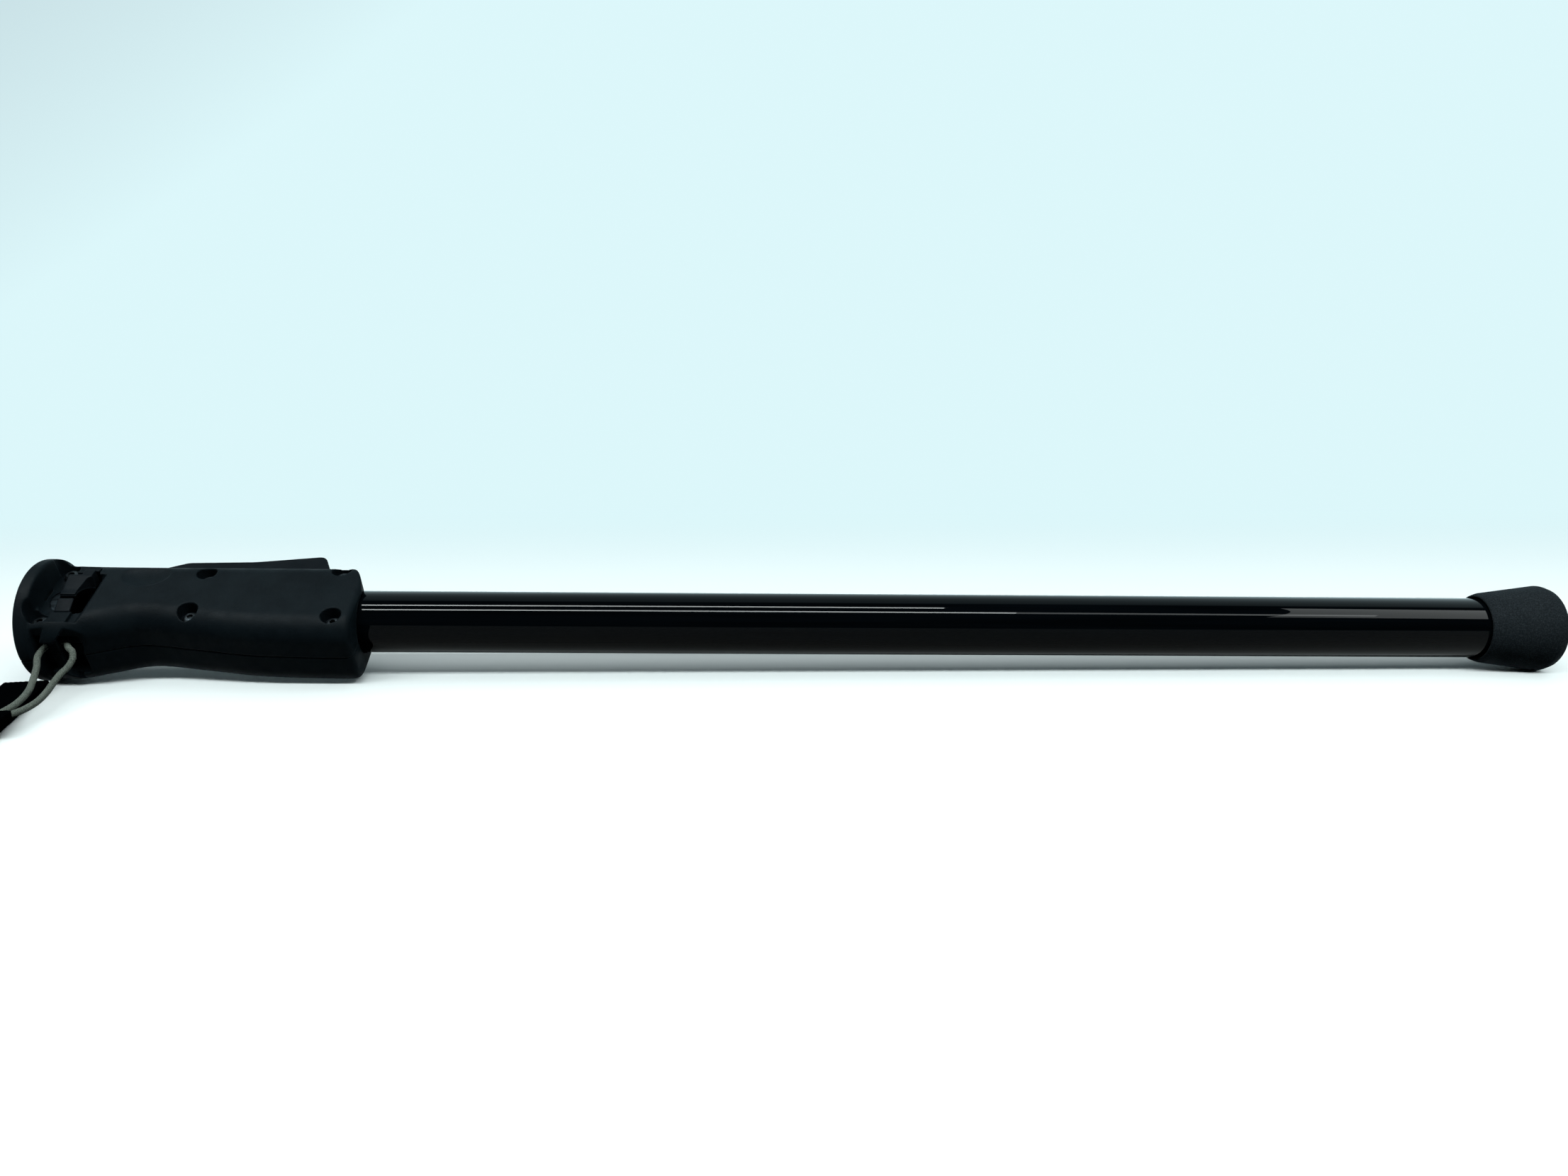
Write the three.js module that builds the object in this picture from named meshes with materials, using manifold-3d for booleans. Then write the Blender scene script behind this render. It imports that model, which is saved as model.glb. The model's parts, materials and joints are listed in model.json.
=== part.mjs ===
// Telescoping support pole with a trigger grip, stowed and lying on its side. Millimetres, +Z up.
// +X runs along the pole from the head flange to the foot, and Z = 0 is the surface it lies on.
//
// Everything on the pole is drawn in the pole's own frame: x along the axis from the head face,
// y towards the trigger, z out of the near grip shell. The pole group then rolls about its axis.
import * as THREE from 'three';
import { mergeVertices } from 'three/addons/utils/BufferGeometryUtils.js';
import Module from 'manifold-3d';

const wasm = await Module();
wasm.setup();

// ---------------------------------------------------------------- driving dimensions
const rollDegrees = 28;            // turn of the trigger side above the horizontal
const gap = 0.3;                   // clearance between separate pieces
const poleLength = 785.3;          // head face to foot sole, stowed
const axisShiftY = -5.14;          // sets the middle of the whole object's width on Y = 0

const flangeRadius = 31.34;
const flangeThickness = 7;
const rimFacets = 24;              // round rims with a flat at the bottom, so that they rest

const gripEnd = 161;
const gripHalfWidth = 20.3;        // axis to either shell's flat side
const gripCorner = 11;             // corner radius of the grip's section
const tailRound = 3;

const outerTube = { radius: 15.875, bore: 14.375, start: 88, end: 767 };
const middleTube = { radius: 12.7, bore: 11.5, start: 112, end: 765 };
const lowerTube = { radius: 9.525, bore: 8.4, start: 140, end: 778.6 };
const rod = { radius: 3.2, start: 56, end: 752 };
const sleeve = { radius: 4.9, bore: 3.6, start: 97.5, end: 748 };

const pivot = { x: 46, y: 19, pin: 2, bore: 2.15, hub: 5 };
const trigger = { halfWidth: 8.7, slotHalfWidth: 9.2, slotStart: 38.5, slotEnd: 138.5 };

const screw = { head: 3.9, headHeight: 2.1, shank: 1.4, hole: 1.75, well: 5, seat: 13, tip: -12.5 };
const screwPlaces = [
  { x: 9.5, y: -18.2 },
  { x: 9.5, y: 18.2 },
  { x: 80.6, y: -14.2 },
  { x: 80.6, y: 14.2 },
  { x: 151.4, y: -17.6 },
  { x: 147.7, y: 17.6 },
];

const socket = { radius: 14, bore: 9.5, start: 0.6, end: 33.4, collar: 17 };
const collar = { bore: 14.35, radius: 16.2, start: 12, end: 19.5, skirtEnd: 27.2, skirtBore: 15.6 };
const collarPad = { top: 19.6, saddle: 17.6, palm: -9.6, front: 16.8 };
const collarChamber = 16.5;
const lanyardBar = { start: 13.5, end: 18.4, top: -23.6, pocketFloor: -17.8, pocketHalf: 11.6 };

// ---------------------------------------------------------------- materials
function finish(color, roughness, metalness) {
  return new THREE.MeshStandardMaterial({ color, roughness, metalness });
}
const materials = {
  gripPlastic: finish(0x17191b, 0.62, 0),
  triggerPlastic: finish(0x131416, 0.5, 0),
  blackTube: finish(0x08090a, 0.12, 0.4),
  innerTube: finish(0x1b1c1e, 0.3, 0.6),
  rubber: finish(0x1c1f21, 0.85, 0),
  darkSteel: finish(0x3a3c3f, 0.35, 1),
  alloy: finish(0x2a2c2e, 0.4, 0.9),
  acetal: finish(0x26282a, 0.45, 0),
  cord: finish(0xb9bcae, 0.9, 0),
  webbing: finish(0x101113, 0.9, 0),
};

// ---------------------------------------------------------------- solids
const TURN = Math.PI * 2;
const rad = THREE.MathUtils.degToRad;

function solid(geometry) {
  const bare = geometry.clone();
  for (const name of Object.keys(bare.attributes)) {
    if (name !== 'position') bare.deleteAttribute(name);
  }
  const merged = mergeVertices(bare, 1e-4);
  const vertProperties = new Float32Array(merged.attributes.position.array);
  const triVerts = new Uint32Array(merged.index.array);
  return new wasm.Manifold(new wasm.Mesh({ numProp: 3, vertProperties, triVerts }));
}

function toGeometry(manifold) {
  const mesh = manifold.getMesh();
  const geometry = new THREE.BufferGeometry();
  geometry.setAttribute('position', new THREE.BufferAttribute(mesh.vertProperties, 3));
  geometry.setIndex(new THREE.BufferAttribute(mesh.triVerts, 1));
  return geometry;
}

function block(x0, x1, y0, y1, z0, z1) {
  const geometry = new THREE.BoxGeometry(x1 - x0, y1 - y0, z1 - z0);
  geometry.translate((x0 + x1) / 2, (y0 + y1) / 2, (z0 + z1) / 2);
  return solid(geometry);
}

// A bar along x; six segments make a hexagon.
function barX(radius, x0, x1, segments = 32, phase = 0) {
  const geometry = new THREE.CylinderGeometry(radius, radius, x1 - x0, segments, 1, false, phase);
  geometry.rotateZ(-Math.PI / 2);
  geometry.translate((x0 + x1) / 2, 0, 0);
  return solid(geometry);
}

function barZ(radius, x, y, z0, z1, segments = 18) {
  const geometry = new THREE.CylinderGeometry(radius, radius, z1 - z0, segments);
  geometry.rotateX(Math.PI / 2);
  geometry.translate(x, y, (z0 + z1) / 2);
  return solid(geometry);
}

function ringX(outer, inner, x0, x1, segments = 32) {
  return barX(outer, x0, x1, segments).subtract(barX(inner, x0 - 1, x1 + 1, segments));
}

// Turned about the x axis from [x, radius] points that start and end on the axis or close up.
function turned(profile, segments, phase = 0) {
  const points = profile.map(([x, r]) => new THREE.Vector2(r, x));
  const geometry = new THREE.LatheGeometry(points, segments, phase);
  geometry.rotateZ(-Math.PI / 2);
  return solid(geometry);
}

// An outline in x and y, pushed along z.
function plate(shape, z0, z1, curveSegments = 6) {
  const geometry = new THREE.ExtrudeGeometry(shape, {
    depth: z1 - z0,
    bevelEnabled: false,
    curveSegments,
  });
  geometry.translate(0, 0, z0);
  return solid(geometry);
}

// An outline in x and z, pushed along y.
function acrossY(shape, y0, y1) {
  const geometry = new THREE.ExtrudeGeometry(shape, { depth: y1 - y0, bevelEnabled: false });
  geometry.rotateX(Math.PI / 2);
  geometry.translate(0, y1, 0);
  return solid(geometry);
}

function roundedRect(x0, x1, y0, y1, r) {
  const shape = new THREE.Shape();
  shape.moveTo(x0 + r, y0);
  shape.lineTo(x1 - r, y0);
  shape.absarc(x1 - r, y0 + r, r, -Math.PI / 2, 0);
  shape.lineTo(x1, y1 - r);
  shape.absarc(x1 - r, y1 - r, r, 0, Math.PI / 2);
  shape.lineTo(x0 + r, y1);
  shape.absarc(x0 + r, y1 - r, r, Math.PI / 2, Math.PI);
  shape.lineTo(x0, y0 + r);
  shape.absarc(x0 + r, y0 + r, r, Math.PI, Math.PI * 1.5);
  return shape;
}

// ---------------------------------------------------------------- scene graph
const pole = new THREE.Group();
const lanyard = new THREE.Group();

function add(group, name, shape, material) {
  const mesh = new THREE.Mesh(shape.isBufferGeometry ? shape : toGeometry(shape), material);
  mesh.name = name;
  group.add(mesh);
}

// ---------------------------------------------------------------- grip form
// Distance from the axis to the palm side and to the trigger side, along the grip.
function sideCurve(stations) {
  const curve = new THREE.SplineCurve(stations.map(([x, y]) => new THREE.Vector2(x, y)));
  const samples = curve.getPoints(60);
  return (x) => {
    const next = samples.findIndex((point) => point.x >= x);
    if (next <= 0) return samples[next === 0 ? 0 : samples.length - 1].y;
    const a = samples[next - 1];
    const b = samples[next];
    return THREE.MathUtils.lerp(a.y, b.y, (x - a.x) / (b.x - a.x));
  };
}
const palmStations = [[5, 27.4], [21, 28.8], [37, 24.2], [56, 19.3], [82, 22.4], [112, 26.5], [150, 28]];
const palmSide = sideCurve([...palmStations, [gripEnd, 27.6]]);
const triggerSide = sideCurve([[5, 26.8], [18, 25.4], [60, 24.9], [gripEnd, 24.9]]);

// One closed section of the grip: a rectangle with round corners, drawn in to round the tail.
function gripSection(x, inset) {
  const palm = palmSide(x) - inset;
  const front = triggerSide(x) - inset;
  const half = gripHalfWidth - inset;
  const r = gripCorner - inset * 0.6;
  const corners = [
    { y: front - r, z: half - r, from: 0 },
    { y: -palm + r, z: half - r, from: 90 },
    { y: -palm + r, z: -half + r, from: 180 },
    { y: front - r, z: -half + r, from: 270 },
  ];
  const steps = 5;
  const points = [];
  for (const corner of corners) {
    for (let i = 0; i <= steps; i += 1) {
      const angle = rad(corner.from + (90 * i) / steps);
      points.push([corner.y + r * Math.cos(angle), corner.z + r * Math.sin(angle)]);
    }
  }
  return points;
}

function gripBody() {
  const sections = [];
  for (let x = 5; x <= 155; x += 7.5) sections.push([x, 0]);
  for (let i = 0; i <= 3; i += 1) {
    const angle = rad(30 * i);
    const x = gripEnd - tailRound + tailRound * Math.sin(angle);
    sections.push([x, tailRound * (1 - Math.cos(angle))]);
  }
  const positions = [];
  const index = [];
  const count = gripSection(sections[0][0], 0).length;
  for (const [x, inset] of sections) {
    for (const [y, z] of gripSection(x, inset)) positions.push(x, y, z);
  }
  for (let s = 0; s < sections.length - 1; s += 1) {
    for (let i = 0; i < count; i += 1) {
      const a = s * count + i;
      const b = s * count + ((i + 1) % count);
      index.push(a, b, a + count, b, b + count, a + count);
    }
  }
  const last = (sections.length - 1) * count;
  for (let i = 1; i < count - 1; i += 1) {
    index.push(0, i + 1, i);
    index.push(last, last + i, last + i + 1);
  }
  const geometry = new THREE.BufferGeometry();
  geometry.setAttribute('position', new THREE.Float32BufferAttribute(positions, 3));
  geometry.setIndex(index);
  return solid(geometry);
}

// The rims' facets are turned so that one of them faces straight down once the pole is rolled.
function rimPhase() {
  const step = 360 / rimFacets;
  return rad(270 - rollDegrees + step / 2);
}

function flange() {
  const edge = 1.4;
  return turned([
    [0, 0],
    [0, flangeRadius - edge],
    [edge, flangeRadius],
    [flangeThickness - edge, flangeRadius],
    [flangeThickness + 1.2, flangeRadius - 4],
    [flangeThickness + 1.2, 0],
  ], rimFacets, rimPhase());
}

// ---------------------------------------------------------------- what is cut out of the grip
function headChamber() {
  return barX(socket.radius + gap, -1, 40)
    .add(barX(socket.collar + gap, 2.7, 6.3))
    .add(barX(collarChamber, collar.start - 0.5, 33));
}

function mechanismChamber() {
  return block(35, 75.5, -13.5, 17, -13, 13).add(block(75, 88, -10.3, 12, -10, 10));
}

function triggerSlot() {
  const w = trigger.slotHalfWidth;
  return block(trigger.slotStart, trigger.slotEnd, 12, 50, -w, w);
}

// The recess is a scoop between two shoulders, which hold the screw wells, with a deep slot for the
// collar's pad and a ramp behind the slot.
function thumbRecess() {
  const shoulders = plate(roundedRect(6.6, 25.4, -22.5, 21, 5), 18.2, 40);
  const scoop = plate(roundedRect(6.6, 25.4, -13.4, 15, 5), 12.6, 40);
  const deep = plate(roundedRect(collar.start - 0.5, 27.4, -13, 14.5, 1.5), 2, 40);
  const armRoom = block(17.9, 27, 9, collarPad.front + 0.6, 10, 40);
  const slope = new THREE.Shape();
  slope.moveTo(24, 16);
  slope.lineTo(27.4, 16);
  slope.lineTo(31.8, 20.5);
  slope.lineTo(31.8, 25);
  slope.lineTo(24, 25);
  return shoulders.add(scoop).add(deep).add(armRoom).add(acrossY(slope, -22.5, 12.5));
}

function thumbDimple() {
  const geometry = new THREE.SphereGeometry(1, 20, 12);
  geometry.scale(14, 11, 5);
  geometry.translate(51, 12.5, gripHalfWidth + 2.4);
  return solid(geometry);
}

// The pocket under the recess, with a bar left across it on two slanting struts. Its mouth is
// wider than its floor.
function lanyardPocket() {
  const half = lanyardBar.pocketHalf;
  const pocket = plate(roundedRect(7.6, 29.5, -45, lanyardBar.pocketFloor, 2.5), -half, half);
  const mouthShape = new THREE.Shape();
  mouthShape.moveTo(7.6, -24);
  mouthShape.lineTo(24.6, -24);
  mouthShape.lineTo(25.4, -9);
  mouthShape.lineTo(29.6, 2);
  mouthShape.lineTo(33.6, 13);
  mouthShape.lineTo(33.6, 24);
  mouthShape.lineTo(7.6, 24);
  const mouth = acrossY(mouthShape, -45, -25.2);
  const bar = block(lanyardBar.start, lanyardBar.end, lanyardBar.top - 2.6, lanyardBar.top, -10.5, 10.5);
  const strutShape = new THREE.Shape();
  strutShape.moveTo(11.2, 9.3);
  strutShape.lineTo(lanyardBar.end, 9.3);
  strutShape.lineTo(27.6, 22);
  strutShape.lineTo(17.4, 22);
  const strut = acrossY(strutShape, -50, lanyardBar.top);
  const boss = barZ(2.6, screwPlaces[0].x, screwPlaces[0].y, -20, 20);
  return pocket.add(mouth).subtract(bar).subtract(strut).subtract(mirrored(strut)).subtract(boss);
}

// The trigger side of the tail is rounded off in a long sweep.
function tailSweep() {
  const outline = new THREE.Shape();
  outline.moveTo(148.8, 24.4);
  outline.quadraticCurveTo(158.8, 18.4, gripEnd + 0.1, 3);
  outline.lineTo(gripEnd + 5, 3);
  outline.lineTo(gripEnd + 5, 30);
  outline.lineTo(148.8, 30);
  return plate(outline, -30, 30, 8);
}

function mirrored(manifold) {
  return manifold.mirror([0, 0, 1]);
}

function gripShells() {
  let body = gripBody().add(flange());
  const recess = thumbRecess();
  const dimple = thumbDimple();
  const cuts = [
    headChamber(),
    mechanismChamber(),
    triggerSlot(),
    barX(outerTube.radius + gap, outerTube.start - 0.5, gripEnd + 1, 48),
    recess,
    mirrored(recess),
    dimple,
    mirrored(dimple),
    lanyardPocket(),
    tailSweep(),
    barZ(pivot.pin + gap, pivot.x, pivot.y, -13.4, 13.4),
  ];
  for (const cut of cuts) body = body.subtract(cut);
  for (const { x, y } of screwPlaces) {
    body = body.subtract(barZ(screw.hole, x, y, screw.tip - gap, screw.seat + 1, 12));
    body = body.subtract(barZ(screw.well, x, y, screw.seat, 40));
  }
  for (const side of [-1, 1]) {
    const [z0, z1] = side < 0 ? [-18, -14.8] : [14.8, 18];
    body = body.add(barZ(2.7, 120, 0, z0, z1));
  }
  const seam = 0.15;
  const near = body.intersect(block(-10, 200, -60, 60, seam, 60));
  const far = body.intersect(block(-10, 200, -60, 60, -60, -seam));
  return { near, far };
}

const shells = gripShells();
add(pole, 'near_grip_shell', shells.near, materials.gripPlastic);
add(pole, 'far_grip_shell', shells.far, materials.gripPlastic);

// ---------------------------------------------------------------- screws
screwPlaces.forEach(({ x, y }, i) => {
  const top = screw.seat + gap + screw.headHeight;
  const drive = barZ(1.4, x, y, top - 1.2, top + 1, 6);
  const head = barZ(screw.head, x, y, screw.seat + gap, top).subtract(drive);
  const shank = barZ(screw.shank, x, y, screw.tip, screw.seat + 1, 12);
  add(pole, `shell_screw_${i + 1}`, head.add(shank), materials.darkSteel);
});

// ---------------------------------------------------------------- head socket and release collar
function headSocket() {
  return barX(socket.radius, socket.start, socket.end)
    .add(barX(socket.collar, 3, 6))
    .subtract(barX(socket.bore, socket.start - 1, socket.end - 3));
}
add(pole, 'head_socket', headSocket(), materials.alloy);

// The collar has a notched, saddle-shaped thumb pad on either side, standing in the two recesses,
// and a thin skirt that covers its spring.
function releaseCollar() {
  const { top, saddle, palm, front } = collarPad;
  const outline = new THREE.Shape();
  outline.moveTo(collar.start, palm);
  outline.lineTo(collar.end, palm);
  outline.lineTo(collar.end, 3);
  outline.lineTo(21.8, 10.6);
  outline.lineTo(23.6, 11.6);
  outline.lineTo(23.6, front);
  outline.lineTo(18.4, front);
  outline.lineTo(18.4, 13);
  outline.lineTo(collar.start, 13);
  const pad = plate(outline, 12, top)
    .subtract(block(collar.start - 1, collar.end + 1, -2.4, -0.2, 15.9, 30));
  const overPad = new THREE.Shape();
  overPad.moveTo(palm - 0.5, 14);
  overPad.lineTo(-0.6, saddle);
  overPad.lineTo(3, saddle);
  overPad.lineTo(front - 4.8, top);
  overPad.lineTo(front - 4.8, top + 1);
  overPad.lineTo(palm - 0.5, top + 1);
  const saddleCut = new THREE.ExtrudeGeometry(overPad, { depth: 14, bevelEnabled: false });
  saddleCut.rotateY(Math.PI / 2);
  saddleCut.rotateX(Math.PI / 2);
  saddleCut.translate(collar.start - 2, 0, 0);
  const ring = barX(collar.radius, collar.start, collar.skirtEnd, 40);
  const padded = pad.subtract(solid(saddleCut));
  return ring.add(padded).add(mirrored(padded))
    .subtract(barX(collar.skirtBore, collar.end, collar.skirtEnd + 1, 40))
    .subtract(barX(collar.bore, collar.start - 1, collar.end + 1, 40));
}
add(pole, 'release_collar', releaseCollar(), materials.triggerPlastic);

function springGeometry(radius, wire, turns, length, pointsPerTurn = 9) {
  const points = [];
  const count = turns * pointsPerTurn;
  for (let i = 0; i <= count; i += 1) {
    const angle = (TURN * i) / pointsPerTurn;
    const along = (length * i) / count;
    points.push(new THREE.Vector3(along, radius * Math.cos(angle), radius * Math.sin(angle)));
  }
  const section = new THREE.Shape();
  section.absarc(0, 0, wire, 0, TURN);
  return new THREE.ExtrudeGeometry(section, {
    steps: count,
    bevelEnabled: false,
    curveSegments: 3,
    extrudePath: new THREE.CatmullRomCurve3(points),
  });
}
const collarSpring = springGeometry(14.97, 0.4, 5, 11, 14);
collarSpring.translate(20.6, 0, 0);
add(pole, 'collar_spring', solid(collarSpring), materials.darkSteel);

// ---------------------------------------------------------------- trigger
function triggerLever() {
  const outline = new THREE.Shape();
  outline.moveTo(pivot.x + 2, pivot.y - 4.6);
  outline.lineTo(66, 20.6);
  outline.lineTo(133, 31.4);
  outline.lineTo(135, 33.2);
  outline.lineTo(132, 39.8);
  outline.quadraticCurveTo(130.6, 42.5, 126, 42.2);
  outline.quadraticCurveTo(110, 39.9, 92, 37.8);
  outline.lineTo(64, 36.8);
  outline.quadraticCurveTo(58.6, 36.4, 52, 33.2);
  outline.lineTo(pivot.x - 3, pivot.y + 5);
  const w = trigger.halfWidth;
  const hub = barZ(pivot.hub, pivot.x, pivot.y, -w, w, 24);
  const springRoom = barZ(pivot.hub + 1, pivot.x, pivot.y, -3.6, 3.6, 24);
  const bore = barZ(pivot.bore, pivot.x, pivot.y, -w - 1, w + 1, 20);
  const pusher = block(64.5, 67.5, 2.9, 24, 5.3, 8.5);
  return plate(outline, -w, w).add(hub).subtract(springRoom).subtract(bore).add(pusher);
}
add(pole, 'trigger_lever', triggerLever(), materials.triggerPlastic);
add(pole, 'trigger_pin', barZ(pivot.pin, pivot.x, pivot.y, -13, 13, 20), materials.darkSteel);

const triggerSpring = springGeometry(3.6, 0.5, 4, 5.6);
triggerSpring.rotateY(Math.PI / 2);
triggerSpring.translate(pivot.x, pivot.y, 2.8);
add(pole, 'trigger_spring', solid(triggerSpring), materials.darkSteel);

// ---------------------------------------------------------------- drive rod and its bearings
add(pole, 'drive_rod', barX(rod.radius, rod.start, rod.end, 6), materials.darkSteel);

const crank = barX(5.2, 61, 69, 24)
  .add(block(61, 69, -1.5, 1.5, 3, 10))
  .subtract(barX(rod.radius + gap, 60, 70, 6));
add(pole, 'rod_crank', crank, materials.darkSteel);

const bearingPlate = block(53, 58, -13.2, 14, -12.7, 12.7).subtract(barX(3.6, 52, 59, 24));
add(pole, 'rod_bearing_plate', bearingPlate, materials.acetal);

const topBush = barX(outerTube.bore - gap, outerTube.start + 0.5, 96, 32)
  .subtract(barX(3.6, outerTube.start, 97, 24));
add(pole, 'tube_top_bush', topBush, materials.acetal);

add(pole, 'drive_sleeve', ringX(sleeve.radius, sleeve.bore, sleeve.start, sleeve.end, 6), materials.alloy);

// ---------------------------------------------------------------- telescoping tubes
function tube({ radius, bore, start, end }, segments) {
  return ringX(radius, bore, start, end, segments);
}
const outer = tube(outerTube, 48).subtract(barZ(3, 120, 0, -20, 20));
add(pole, 'outer_tube', outer, materials.blackTube);
add(pole, 'middle_tube', tube(middleTube, 40), materials.innerTube);
add(pole, 'lower_tube', tube(lowerTube, 32), materials.innerTube);

// A guide bush sits in the mouth of a tube, with a lip over the tube's end.
function guideBush(host, guest) {
  const inner = guest.radius + gap;
  return ringX(host.bore - gap, inner, host.end - 18, host.end + 0.4, 40)
    .add(ringX(host.radius - 0.2, inner, host.end + 0.3, host.end + 1.9, 40));
}
add(pole, 'outer_guide_bush', guideBush(outerTube, middleTube), materials.acetal);
add(pole, 'middle_guide_bush', guideBush(middleTube, lowerTube), materials.acetal);

// ---------------------------------------------------------------- locks
// A lock is a body on the top end of a tube, two brake shoes in its slot, and a cam between them.
// The cam's shank rides on the hexagonal drive sleeve.
function lockSet(name, host, guest, start, shank) {
  const bodyRadius = host.bore - gap;
  const end = guest.start - gap;
  const slot = { start: start + 2.5, end: end - 1.7, halfWidth: bodyRadius * 0.34 };
  const cam = { radius: 6.4, waist: 5.7, shank: 6.1, hex: sleeve.radius + 0.3 };
  const slotCut = block(slot.start, slot.end, -20, 20, -slot.halfWidth, slot.halfWidth);
  const body = barX(bodyRadius, start, end)
    .add(barX(guest.bore - gap, end - 1, end + 11))
    .subtract(slotCut)
    .subtract(barX(cam.radius + gap, start - 1, end + 12));
  add(pole, `${name}_lock_body`, body, materials.acetal);

  const shoeSpace = [slot.start + gap, slot.end - gap];
  const shoeHalf = slot.halfWidth - gap;
  const round = barX(bodyRadius, ...shoeSpace, 48);
  for (const side of [1, -1]) {
    const span = side > 0 ? [cam.radius + gap, 20] : [-20, -cam.radius - gap];
    const shoe = round.intersect(block(...shoeSpace, ...span, -shoeHalf, shoeHalf));
    add(pole, `${name}_brake_shoe_${side > 0 ? 1 : 2}`, shoe, materials.rubber);
  }

  const oval = new THREE.CylinderGeometry(1, 1, shoeSpace[1] - shoeSpace[0], 32);
  oval.rotateZ(-Math.PI / 2);
  oval.scale(1, cam.radius, cam.waist);
  oval.translate((shoeSpace[0] + shoeSpace[1]) / 2, 0, 0);
  const camSolid = solid(oval).add(barX(cam.shank, shoeSpace[1] - 1, shoeSpace[1] + shank))
    .subtract(barX(cam.hex, shoeSpace[0] - 1, shoeSpace[1] + shank + 1, 6));
  add(pole, `${name}_lock_cam`, camSolid, materials.alloy);
}
lockSet('middle', outerTube, middleTube, 98, 6);
lockSet('lower', middleTube, lowerTube, 126, 152);

// ---------------------------------------------------------------- rubber foot
function rubberFoot() {
  const cupBore = outerTube.radius + 0.7;
  return turned([
    [746, cupBore + 0.4],
    [747, 17.8],
    [749.5, 18.6],
    [771.5, 21.8],
    [780, 22.5],
    [783.8, 21],
    [poleLength, 18],
    [poleLength, 0],
    [779.2, 0],
    [779.2, lowerTube.radius + gap],
    [771.4, lowerTube.radius + gap],
    [771.4, cupBore],
    [747, cupBore],
    [746, cupBore + 0.4],
  ], rimFacets, rimPhase());
}
add(pole, 'rubber_foot', rubberFoot(), materials.rubber);

// ---------------------------------------------------------------- lanyard
// x from the head face, y from the pole axis, z above the surface.
function cordTube(route, diameter, steps) {
  const points = route.map((place) => new THREE.Vector3(...place));
  const curve = new THREE.CatmullRomCurve3(points, false, 'centripetal');
  const section = new THREE.Shape();
  section.absarc(0, 0, diameter / 2, 0, TURN);
  const options = { steps, bevelEnabled: false, curveSegments: 4, extrudePath: curve };
  return new THREE.ExtrudeGeometry(section, options);
}

const cordDiameter = 3.2;
const outerLoopRoute = [
  [22.6, -84.5, 7.6],
  [22.3, -70, 8.2],
  [19.7, -56, 9.8],
  [14.8, -43, 11.6],
  [11.8, -34, 15.4],
  [9.8, -28.5, 19.6],
  [10.6, -24.3, 22.4],
  [12.6, -21, 24.2],
  [16.5, -19.9, 25],
  [20.4, -21.4, 24.8],
  [22.6, -25.1, 24],
  [25, -28.1, 23.3],
  [27.6, -30.4, 22.4],
  [28.6, -32.4, 19.6],
  [28, -35.4, 16.6],
  [26.8, -41, 14],
  [27.4, -49, 11.6],
  [29.4, -59, 9.8],
  [30.4, -69, 8.4],
  [29.4, -78, 7.6],
  [27, -85, 7.4],
];
add(lanyard, 'lanyard_cord', cordTube(outerLoopRoute, cordDiameter, 44), materials.cord);

// The strap is a flat closed loop of webbing lying on the surface, and the keeper grips the cord on it.
const strap = { width: 20, length: 150, height: 4.4, startX: -2, startY: -20, headingDegrees: -76 };

function strapLoop() {
  const h = strap.height / 2;
  const outline = new THREE.Shape();
  outline.moveTo(h, -h);
  outline.lineTo(strap.length - h, -h);
  outline.absarc(strap.length - h, 0, h, -Math.PI / 2, Math.PI / 2);
  outline.lineTo(h, h);
  outline.absarc(h, 0, h, Math.PI / 2, Math.PI * 1.5);
  const geometry = new THREE.ExtrudeGeometry(outline, {
    depth: strap.width,
    bevelEnabled: false,
    curveSegments: 8,
  });
  geometry.rotateX(Math.PI / 2);
  geometry.translate(0, strap.width / 2, h + 0.3);
  geometry.rotateZ(rad(strap.headingDegrees));
  geometry.translate(strap.startX, strap.startY, 0);
  return solid(geometry);
}
add(lanyard, 'wrist_strap', strapLoop(), materials.webbing);

const keeper = { x: 24.6, y: -94, turnDegrees: 8 };

function keeperBlock() {
  const geometry = new THREE.BoxGeometry(13, 15, 5);
  geometry.rotateZ(rad(keeper.turnDegrees));
  geometry.translate(keeper.x, keeper.y, 7.8);
  return solid(geometry);
}
add(lanyard, 'cord_keeper', keeperBlock(), materials.webbing);

// ---------------------------------------------------------------- placing
const axisHeight = flangeRadius * Math.cos(Math.PI / rimFacets);
pole.rotation.x = rad(rollDegrees);
pole.position.set(-poleLength / 2, axisShiftY, axisHeight);
lanyard.position.set(-poleLength / 2, axisShiftY, 0);

const model = new THREE.Group();
model.add(pole, lanyard);
export default model;
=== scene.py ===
"""Telescoping pole with a trigger grip, lying stowed on a pale floor."""

import json
import math

import bmesh
import bpy
import numpy as np
from mathutils import Matrix, Vector


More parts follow.
